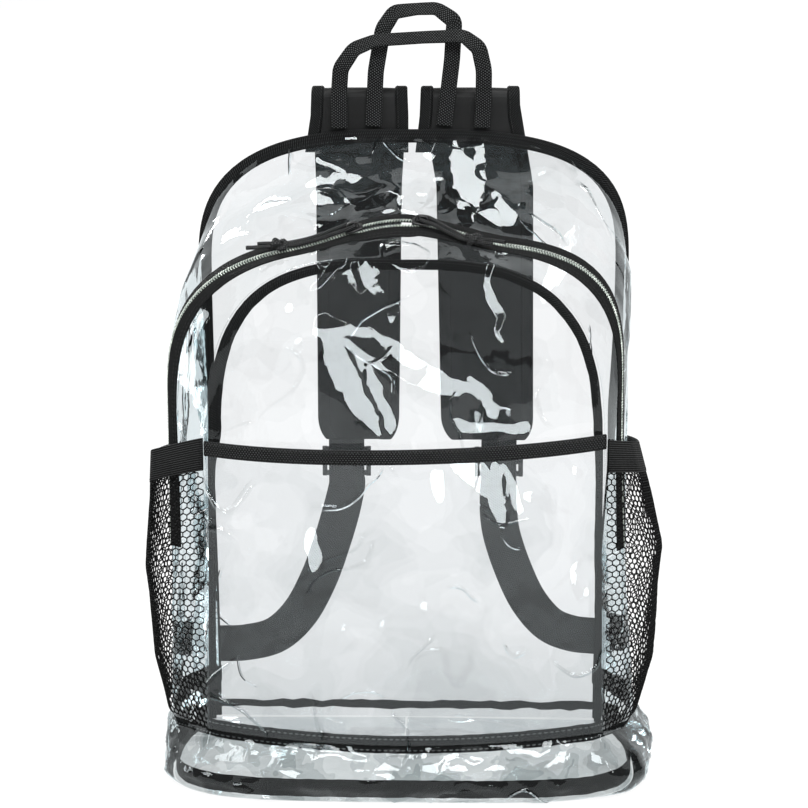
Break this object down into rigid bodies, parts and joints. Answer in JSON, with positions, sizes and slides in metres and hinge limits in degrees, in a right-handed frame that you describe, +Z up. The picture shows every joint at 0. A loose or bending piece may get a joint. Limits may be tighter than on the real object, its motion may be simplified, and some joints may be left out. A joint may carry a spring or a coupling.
{
  "type": "clear backpack",
  "caption": "Clear film backpack with black bindings, arched two-slider zip, front slip pocket, mesh side pockets, haul handles and shoulder straps.",
  "frame": {"origin": "on the floor under the middle of the bag's bounding box", "axes": "+Z up, the front panel faces -Y, +X to the right seen from the front"},
  "size_m": [0.3583, 0.1972, 0.53],
  "materials": {
    "clear_film": "clear glossy vinyl film, slightly creased",
    "webbing": "black woven polyester tape",
    "elastic": "black ribbed elastic",
    "mesh": "black net",
    "strap_fabric": "dark smooth woven polyester over thin foam",
    "cord": "black braided cord",
    "zip_coil": "silvery nylon coil",
    "zip_slider": "black lacquer",
    "adjuster": "moulded, satin"
  },
  "bodies": {
    "root": {"back_panel": "clear_film", "front_panel": "clear_film", "slip_pocket": "clear_film", "rear_gusset": "clear_film", "front_gusset": "clear_film", "side_panel_left": "clear_film", "side_panel_right": "clear_film", "boot_wall": "clear_film", "floor_panel": "clear_film", "boot_tape": "webbing", "floor_binding": "webbing", "back_binding": "webbing", "front_binding": "webbing", "slip_pocket_binding": "webbing", "zip_coil_rear": "zip_coil", "zip_tape_rear": "webbing", "zip_coil_front": "zip_coil", "zip_tape_front": "webbing", "zip_slider_left": "zip_slider", "zip_pull_left": "cord", "zip_slider_right": "zip_slider", "zip_pull_right": "cord", "mesh_pocket_left": "mesh", "mesh_elastic_left": "elastic", "mesh_pocket_right": "mesh", "mesh_elastic_right": "elastic", "haul_handle_wide": "webbing", "haul_handle_tall": "webbing", "shoulder_strap_left": "strap_fabric", "strap_binding_outer_left": "webbing", "strap_binding_inner_left": "webbing", "strap_loop_left": "webbing", "adjuster_left": "adjuster", "lower_webbing_left": "webbing", "shoulder_strap_right": "strap_fabric", "strap_binding_outer_right": "webbing", "strap_binding_inner_right": "webbing", "strap_loop_right": "webbing", "adjuster_right": "adjuster", "lower_webbing_right": "webbing"}
  },
  "joints": []
}
